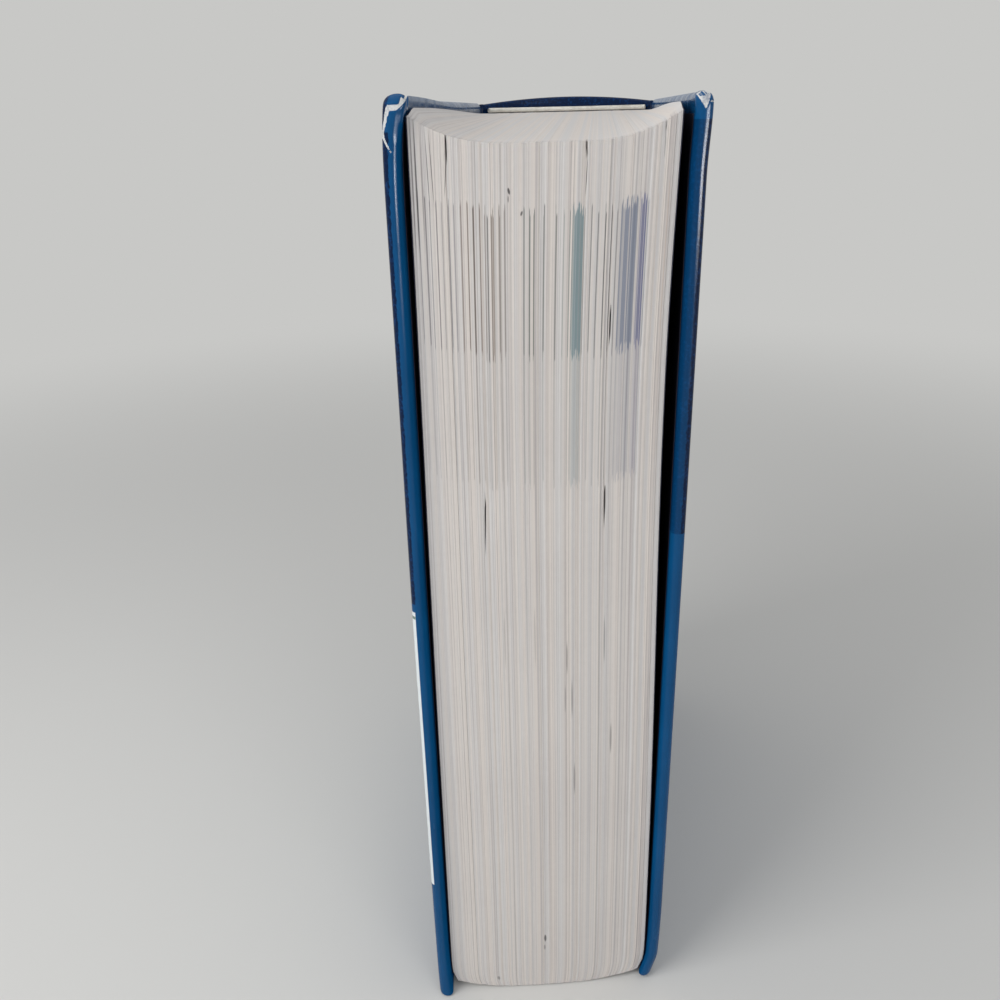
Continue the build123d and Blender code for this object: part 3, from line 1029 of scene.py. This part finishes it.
def pastedown_mesh(side):
    """The pasted half of an endpaper: it lies on the turn-ins and sinks onto the board between them."""
    margin, near_edge, sunk, press = 4 * MM, 20 * MM, 0.25 * MM, 1.5 * MM
    turn_in = settings().cover.turn_in
    fore = cover_fore(side)
    across = samples((margin, near_edge, 26), (near_edge, cover_width, 20))
    near_tail = np.linspace(margin, near_edge, 26)[:-1]
    between = np.linspace(near_edge, cover_height - near_edge, 30)
    up = np.concatenate([near_tail, between, cover_height - near_tail[::-1]])
    y, z = (grid.ravel() for grid in np.meshgrid(fore + across, up, indexing="ij"))
    inset = np.minimum(np.minimum(y - fore, z), cover_height - z)
    x = cover_inner - endpaper_thickness + sunk * smoothstep(turn_in - press, turn_in + press, inset)
    x, y, z = knocked(side, x, y, z)
    mesh = mesh_from("pastedown", np.stack([side * x, y, z], -1), grid_faces(len(across), len(up)))
    return faced(mesh, mesh.polygons[0], (-side, 0, 0))


def laminate_material(name, bands):
    """Glossy printed covering; each band has its low and high level, its kind and how far in it reaches."""
    cover = settings().cover
    material, tree, shader = new_material(name)
    place = object_place(tree)
    z = Term(tree, add_node(tree, "ShaderNodeSeparateXYZ", {"Vector": place}).outputs["Z"])
    inward, torn = named_value(tree, "inward"), named_value(tree, "torn")

    # Mottled navy print and plain fields over the blue
    mottle = noise(tree, place, 1500.0, 2.0, 0.6) * 0.75 + noise(tree, place, 260.0, 2.0, 0.6) * 0.25
    print_colour = mixed(tree, mottle.ramp(0.50, 0.64), cover.navy, cover.print_blue)
    uneven = inward + (noise(tree, place, 700.0, 3.0, 0.6) - 0.5) * 0.9
    inks = {
        "print": (print_colour, uneven),
        "faded": (mixed(tree, 0.45, print_colour, cover.blue), uneven),
        "panel": (cover.panel, inward),
        "line": (cover.panel_line, inward),
    }
    depth = noise(tree, place, 55.0, 3.0)
    colour = mixed(tree, depth.ramp(0.3, 0.7, 0.0, 0.18), cover.blue, cover.navy)
    blur, limit_blur = 0.1 * MM, 0.1
    for low, high, kind, limit in bands:
        ink, reach = inks[kind]
        share = z.within(low, high, blur) * reach.step(limit, limit_blur, 1.0, 0.0)
        colour = mixed(tree, share, colour, ink)

    # Bare fibres in the tears
    tone, fibre = paper_fibre(tree, 2600.0, 420.0)
    fibre_colour = mixed(tree, tone.ramp(0.46, 0.70), cover.torn, cover.torn_shade)
    colour = mixed(tree, torn.ramp(0.35, 0.6), colour, fibre_colour)

    # Gloss of the laminate, dull where it is torn and gone inside the cover below the head
    smear = noise(tree, stretched(tree, place, z=0.15), 240.0, 3.0, 0.6)
    roughness = smear.ramp(0.3, 0.8, 0.14, 0.30) + torn.ramp(0.3, 0.6, 0.0, 0.6)
    inside = inward.ramp(2.1, 2.9) * z.ramp(233 * MM, 235 * MM, 1.0, 0.0)
    gloss = inside.ramp(0.0, 1.0, 0.15, 0.0)
    set_inputs(tree, shader, {"Base Color": colour, "Roughness": roughness, "Specular IOR Level": gloss})
    pebble = noise(tree, place, 1300.0)
    bumped(tree, shader, pebble + fibre * torn * 4.0, 0.3, 0.03 * MM)
    return material


def front_laminate():
    """Front covering: mottled print above, a pale panel with a thin line, and plain blue below."""
    bands = (
        (128.6 * MM, 232 * MM, "print", 1.2),
        # Above the printed field the mottled navy runs on along the outer 0.6 mm of the edge, darkening it up
        # to the head
        (232 * MM, 260 * MM, "print", 0.6),
        (41.6 * MM, 126.5 * MM, "panel", 1.0),
        (124.6 * MM, 125.4 * MM, "line", 1.0),
    )
    return laminate_material("front_laminate", bands)


def back_laminate():
    """Back covering: mottled print above and plain blue below."""
    bands = (
        (144 * MM, 233 * MM, "faded", 5.0),
        (144 * MM, 233 * MM, "print", 1.1),
    )
    return laminate_material("back_laminate", bands)


def spine_laminate():
    """Spine and joints: mottled print above and plain blue below."""
    return laminate_material("spine_laminate", ((144 * MM, 260 * MM, "print", 5.0),))


def board_material():
    """Grey board, felted and flecked."""
    colours = (srgb(150, 143, 134), srgb(118, 111, 104))
    finish = {"Roughness": 0.9}
    return fibre_material("grey_board", colours, (1500.0, 200.0), (0.3, 0.7), finish, 0.6, 0.06 * MM)


class BOOK_OT_covers(bpy.types.Operator):
    """Make each board with its pastedown and wrap it in its worn, laminated covering"""

    bl_idname = "book.covers"
    bl_label = "Covers"

    def execute(self, context):
        board, paper = board_material(), bpy.data.materials["painted_shade_endpaper"]
        for side, name, laminate in ((FRONT, "front", front_laminate), (BACK, "back", back_laminate)):
            covering = new_object(name + "_covering", cover_skin(side))
            solidified(covering, settings().cover.paper)
            core = new_object(name + "_board_core", board_mesh(side))
            pastedown = new_object(name + "_pastedown_sheet", pastedown_mesh(side))
            solidified(pastedown, endpaper_thickness)
            for piece, material, node, slot in (
                (covering, laminate(), name + "_cover_paper", "printed_cover"),
                (core, board, name + "_board", "board"),
                (pastedown, paper, name + "_pastedown", "endpaper"),
            ):
                smooth_shaded(piece.data, 50)
                piece.data.materials.append(material)
                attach(piece, name + "_cover")
                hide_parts(node)
        return {"FINISHED"}


# The strip and the lining inside the spine


def card_material():
    """Brown card of the spine strip."""
    colours = (srgb(168, 140, 108), srgb(142, 116, 88))
    finish = {"Roughness": 0.85}
    return fibre_material("brown_card", colours, (1200.0, 120.0), (0.3, 0.7), finish, 0.5, 0.05 * MM)


def lining_material():
    """Open-weave lining stuck down with paste."""
    material, tree, shader = new_material("spine_lining_weave")
    tone, fibre = paper_fibre(tree, 1000.0, 90.0)
    weave_inputs = {"Vector": object_place(tree), "Scale": 420.0, "Distortion": 0.6}
    rows = add_node(tree, "ShaderNodeTexWave", weave_inputs, bands_direction="Z")
    threads = add_node(tree, "ShaderNodeTexWave", weave_inputs, bands_direction="X")
    weave = Term(tree, rows.outputs["Fac"]).calc("MAXIMUM", threads.outputs["Fac"])
    colour = mixed(tree, tone.ramp(0.3, 0.7), srgb(218, 210, 192), srgb(196, 184, 160))
    colour = mixed(tree, weave.ramp(0.4, 0.9), srgb(170, 158, 134), colour)
    set_inputs(tree, shader, {"Base Color": colour, "Roughness": 0.9})
    bumped(tree, shader, weave + fibre, 0.5, 0.08 * MM)
    return material


class BOOK_OT_inner_pieces(bpy.types.Operator):
    """Finish the spine strip and the lining that the frame carries"""

    bl_idname = "book.inner_pieces"
    bl_label = "Inner pieces"

    def execute(self, context):
        for node, material in (("spine_strip", card_material()), ("spine_lining", lining_material())):
            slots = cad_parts[node].data.materials
            slots.clear()
            slots.append(material)
        return {"FINISHED"}


# The spine and the joints


def spine_point(radius, angle):
    """A point on the rounded spine in plan; angle 0 is the middle and grows towards the back cover."""
    turned = angle - spine_lean
    return Vector((spine_axis_x + radius * math.sin(turned), spine_axis_y + radius * math.cos(turned)))


def spine_top(x):
    """The head of the spine, which stands past the covers in an arch between the joints."""
    dip, crown = 0.8 * MM, spine_high.z - cover_height
    share = min(abs(x) / cover_outer, 1.0)
    return cover_height + crown - (crown + dip) * share**2


def spine_profile():
    """From the turn-in at the tail, over the outer face, to the turn-in at the head: radius and level, with
    the level measured from the tail, from the head, or as a share of the height between them."""
    turn_in = settings().cover.turn_in
    middle = (spine_inner_radius + spine_outer_radius) / 2
    roll = (spine_outer_radius - spine_inner_radius) / 2
    bend = np.linspace(0, math.pi, 12)
    tail = [(spine_inner_radius, turn_in * share, "tail") for share in (1.0, 0.5, 0.2)]
    tail += [(middle - roll * math.cos(a), roll * (1 - math.sin(a)), "tail") for a in bend]
    outer = [(spine_outer_radius, share, "between") for share in np.linspace(0.05, 0.95, 30)]
    head = [(radius, level, "head") for radius, level, _ in reversed(tail)]
    return tail + outer + head


def spine_level(x, level, end):
    """Height of a profile point of the spine covering at x."""
    if end == "tail":
        return level
    if end == "head":
        return spine_top(x) - level
    return spine_top(x) * level


def joint_path(side):
    """The covering in one joint, in plan, from the spine's edge through the groove onto the board."""
    angle = side * spine_half_angle
    board_end = cover_fore(side) + cover_width
    start = spine_point(spine_outer_radius, angle)
    along = spine_point(spine_outer_radius, angle * 1.02) - start
    along.normalize()
    groove, slope_run = 28.25 * MM, 3.4 * MM
    floor_start = Vector((side * groove, start.y - slope_run))
    floor_end = Vector((side * groove, board_end + slope_run))
    lip = Vector((side * cover_outer, board_end))
    steep, flat = Vector((0, -4.0 * MM)), Vector((0, -1.0 * MM))
    points = []
    for first, second, leave, arrive in (
        (start, floor_start, along * 3.0 * MM, Vector((0, -3.0 * MM))),
        (floor_start, floor_end, flat, flat),
        (floor_end, lip, steep, steep),
    ):
        for share in np.linspace(0, 1, 14)[:-1]:
            a = 2 * share**3 - 3 * share**2 + 1
            b = share**3 - 2 * share**2 + share
            c = -2 * share**3 + 3 * share**2
            d = share**3 - share**2
            points.append(first * a + leave * b + second * c + arrive * d)
    points.append(lip)
    return points


class BOOK_OT_spine(bpy.types.Operator):
    """Cover the rounded spine, turned in at head and tail"""

    bl_idname = "book.spine"
    bl_label = "Spine"

    def execute(self, context):
        laminate = spine_laminate()
        profile = spine_profile()
        angles = np.linspace(-spine_half_angle, spine_half_angle, 72)
        points = []
        for radius, level, end in profile:
            for angle in angles:
                place = spine_point(radius, angle)
                points.append((place.x, place.y, spine_level(place.x, level, end)))
        mesh = mesh_from("spine_covering", points, grid_faces(len(profile), len(angles)))
        faced(mesh, max(mesh.polygons, key=lambda face: face.center.y), (0, 1, 0))
        piece = new_object("spine_covering", mesh)
        solidified(piece, settings().cover.paper)
        smooth_shaded(piece.data, 50)
        piece.data.materials.append(laminate)
        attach(piece, "book_block")
        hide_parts("spine_cover")
        return {"FINISHED"}


class BOOK_OT_joints(bpy.types.Operator):
    """Lay the covering through both grooves, from the spine onto the boards"""

    bl_idname = "book.joints"
    bl_label = "Joints"

    def execute(self, context):
        laminate = bpy.data.materials["spine_laminate"]
        levels = np.linspace(0, 1, 40)
        for side, name in ((FRONT, "front"), (BACK, "back")):
            path = joint_path(side)
            points = [(place.x, place.y, spine_top(place.x) * level) for place in path for level in levels]
            mesh = mesh_from(name + "_joint", points, grid_faces(len(path), len(levels)))
            groove_middle = path[len(path) // 2].y
            middle = min(mesh.polygons, key=lambda face: abs(face.center.y - groove_middle))
            piece = new_object(name + "_joint", faced(mesh, middle, (side, 0, 0)))
            solidified(piece, settings().cover.paper)
            smooth_shaded(piece.data, 50)
            piece.data.materials.append(laminate)
            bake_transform(piece)
        return {"FINISHED"}


# The bands


def band_nodes():
    """Geometry nodes that wind thread round a bead along the end of the spine."""
    tree, entry = geometry_tree("Wound band", ("Windings", "Bead radius", "Thread radius"))
    line = entry["Geometry"]

    def ring(points, radius):
        inputs = {"Resolution": points, "Radius": entry[radius]}
        return add_node(tree, "GeometryNodeCurvePrimitiveCircle", inputs).outputs[0]

    def tube(curve, profile, capped):
        inputs = {"Curve": curve, "Profile Curve": profile, "Fill Caps": capped}
        return add_node(tree, "GeometryNodeCurveToMesh", inputs).outputs[0]

    core = tube(line, ring(12, "Bead radius"), True)
    loop = tube(ring(10, "Bead radius"), ring(5, "Thread radius"), False)
    spot_inputs = {"Curve": line, "Count": entry["Windings"]}
    spots = add_node(tree, "GeometryNodeCurveToPoints", spot_inputs, mode="COUNT").outputs
    wound_inputs = {"Points": spots["Points"], "Instance": loop, "Rotation": spots["Rotation"]}
    wound = add_node(tree, "GeometryNodeInstanceOnPoints", wound_inputs)
    joined = tree.nodes.new("GeometryNodeJoinGeometry")
    tree.links.new(wound.outputs[0], joined.inputs[0])
    tree.links.new(core, joined.inputs[0])
    return dressed_tree(tree, entry, joined.outputs[0])


def band_material():
    """White cotton thread."""
    colours = (srgb(232, 230, 222), srgb(206, 202, 192))
    finish = {"Roughness": 0.85}
    return fibre_material("band_thread", colours, (3200.0, 400.0), (0.35, 0.7), finish, 0.5, 0.04 * MM)


class BOOK_OT_bands(bpy.types.Operator):
    """Wind the head and tail bands along the ends of the spine"""

    bl_idname = "book.bands"
    bl_label = "Bands"

    def execute(self, context):
        tree = band_nodes()
        bead_radius, thread_radius, windings = 0.62 * MM, 0.17 * MM, 150
        values = {
            "Windings": windings,
            "Bead radius": bead_radius,
            "Thread radius": thread_radius,
            "Material": band_material(),
        }
        clearance = 0.3 * MM + bead_radius
        line_radius = band_radius - 1.2 * MM
        reach = spine_half_angle * 0.95
        angles = np.linspace(-reach, reach, 60)
        for node, level in (("headband", head_level + clearance), ("tailband", tail_level - clearance)):
            line = bpy.data.curves.new(node + "_line", "CURVE")
            line.dimensions = "3D"
            run = line.splines.new("POLY")
            run.points.add(len(angles) - 1)
            for point, angle in zip(run.points, angles):
                point.co = (*spine_point(line_radius, angle), level, 1)
            source = new_object(node + "_line", line)
            node_modifier(source, tree, values)
            piece = new_object(node + "_thread", evaluated_mesh(source))
            bpy.data.objects.remove(source)
            smooth_shaded(piece.data, 60)
            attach(piece, "book_block")
            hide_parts(node)
        return {"FINISHED"}


# The stage

# Lamps: place, width and height in metres, and power in watts
LAMPS = {
    "left_lamp": ((-0.45, -0.42, 0.45), 0.4, 0.4, 2.4),
    "right_lamp": ((0.35, -0.60, 0.30), 0.3, 0.3, 0.75),
    "gloss_lamp": ((0.45, -0.52, 0.20), 0.40, 0.09, 6.6),
    "top_lamp": ((0.0, -0.15, 1.1), 1.2, 1.2, 3.3),
}


def seen_directly(tree):
    """1 for the camera's own rays and their mirror images, 0 for the light that falls on the book."""
    path = tree.nodes.new("ShaderNodeLightPath").outputs
    seen = Term(tree, path["Is Camera Ray"]).calc("MAXIMUM", path["Is Glossy Ray"])
    return seen.calc("MAXIMUM", path["Is Transmission Ray"])


def mixed_shaders(tree, share, first, second, output):
    """Two shaders mixed by a share, joined to an output."""
    mix = tree.nodes.new("ShaderNodeMixShader")
    for socket, value in zip(mix.inputs, (share, first, second)):
        link_or_set(tree, socket, value)
    tree.links.new(mix.outputs[0], output)


def floor_material():
    """Pale matt floor that fades into the backdrop colour away from the book."""
    stage = settings().stage
    material, tree, shader = new_material("pale_floor")
    place = object_place(tree)
    cloud = noise(tree, place, 3.0, 3.0)
    colour = mixed(tree, cloud.ramp(0.2, 0.8, 0.0, 0.12), stage.floor, stage.floor_cloud)
    set_inputs(tree, shader, {"Base Color": colour, "Roughness": 0.6, "Specular IOR Level": 0.0})
    away = add_node(tree, "ShaderNodeVectorMath", {"Vector": place}, operation="LENGTH").outputs["Value"]
    fade_start, fade_end = 0.2, 0.9
    share = Term(tree, away).ramp(fade_start, fade_end) * seen_directly(tree)
    glow = add_node(tree, "ShaderNodeEmission", {"Color": stage.backdrop, "Strength": 1.0})
    output = tree.nodes["Material Output"].inputs["Surface"]
    mixed_shaders(tree, share, shader.outputs[0], glow.outputs[0], output)
    return material


def area_lamp(name, place, width, height, power):
    """A soft rectangular lamp aimed at the book."""
    target = Vector((0, -0.05, 0.15))
    light = bpy.data.lights.new(name, "AREA")
    light.shape = "RECTANGLE"
    light.size = width
    light.size_y = height
    light.energy = power
    lamp = new_object(name, light)
    lamp.location = place
    lamp.rotation_euler = (target - Vector(place)).to_track_quat("-Z", "Y").to_euler()
    lamp.visible_camera = False
    return lamp


def photo_camera():
    """The camera where the photograph was taken from."""
    stage = settings().stage
    data = bpy.data.cameras.new("camera")
    data.lens = stage.focal_length
    data.sensor_width = 36
    data.clip_start = 0.01
    camera = new_object("camera", data)
    angles = (stage.camera_pitch, stage.camera_yaw, stage.camera_roll)
    pitch, yaw, roll = (math.radians(angle) for angle in angles)
    level = Vector((math.sin(yaw), math.cos(yaw), 0))
    right = Vector((math.cos(yaw), -math.sin(yaw), 0))
    ahead = level * math.cos(pitch) - Vector((0, 0, math.sin(pitch)))
    up = Vector((0, 0, math.cos(pitch))) + level * math.sin(pitch)
    rolled_right = right * math.cos(roll) + up * math.sin(roll)
    rolled_up = up * math.cos(roll) - right * math.sin(roll)
    turn = Matrix((rolled_right, rolled_up, -ahead)).transposed().to_4x4()
    aside, distance_before_cover, height = 9.526 * MM, 186.33 * MM, 235.04 * MM
    place = Vector((aside, front_low.y - distance_before_cover, height))
    camera.matrix_world = Matrix.Translation(place) @ turn
    bpy.context.scene.camera = camera


def studio_world():
    """Even pale light from all round, with the backdrop colour where it is seen directly."""
    stage = settings().stage
    world = bpy.data.worlds.new("studio")
    world.use_nodes = True
    tree = world.node_tree
    fill = tree.nodes["Background"]
    set_inputs(tree, fill, {"Color": stage.fill, "Strength": stage.fill_strength})
    backdrop = add_node(tree, "ShaderNodeBackground", {"Color": stage.backdrop, "Strength": 1.0})
    output = tree.nodes["World Output"].inputs["Surface"]
    mixed_shaders(tree, seen_directly(tree), fill.outputs[0], backdrop.outputs[0], output)
    bpy.context.scene.world = world


class BOOK_OT_stage(bpy.types.Operator):
    """Set the floor, the lamps and the camera"""

    bl_idname = "book.stage"
    bl_label = "Stage"

    def execute(self, context):
        half, level = 3.0, -0.05 * MM
        corners = [(-half, -half, level), (half, -half, level), (half, half, level), (-half, half, level)]
        mesh = bpy.data.meshes.new("floor")
        mesh.from_pydata(corners, [], [(0, 1, 2, 3)])
        floor = new_object("floor", mesh)
        floor.data.materials.append(floor_material())
        lamps = {name: area_lamp(name, *values) for name, values in LAMPS.items()}
        lamps["left_lamp"].visible_glossy = False
        lamps["right_lamp"].visible_glossy = False
        lamps["gloss_lamp"].visible_diffuse = False
        studio_world()
        photo_camera()
        context.scene.view_settings.view_transform = "Standard"
        return {"FINISHED"}


class BOOK_PT_panel(bpy.types.Panel):
    """The book's settings and pieces"""

    bl_idname = "BOOK_PT_panel"
    bl_label = "Study bible"
    bl_space_type = "VIEW_3D"
    bl_region_type = "UI"
    bl_category = "Study bible"

    def draw(self, context):
        for group in (settings().leaves, settings().cover, settings().stage):
            box = self.layout.box()
            for name in group.__annotations__:
                box.prop(group, name)
        for operator in OPERATORS:
            self.layout.operator(operator.bl_idname)


OPERATORS = (
    BOOK_OT_stage,
    BOOK_OT_leaves,
    BOOK_OT_flyleaves,
    BOOK_OT_covers,
    BOOK_OT_inner_pieces,
    BOOK_OT_spine,
    BOOK_OT_joints,
    BOOK_OT_bands,
)
CLASSES = (LeavesSettings, CoverSettings, StageSettings, BookSettings, *OPERATORS, BOOK_PT_panel)


def register():
    """Makes the settings, operators and panel known."""
    for one_class in CLASSES:
        bpy.utils.register_class(one_class)
    bpy.types.Scene.study_bible = PointerProperty(type=BookSettings)


def unregister():
    """Takes the settings, operators and panel away."""
    del bpy.types.Scene.study_bible
    for one_class in reversed(CLASSES):
        bpy.utils.unregister_class(one_class)


def main():
    """Builds every piece."""
    register()
    for operator in OPERATORS:
        group, name = operator.bl_idname.split(".")
        getattr(getattr(bpy.ops, group), name)()


if __name__ == "__main__":
    main()
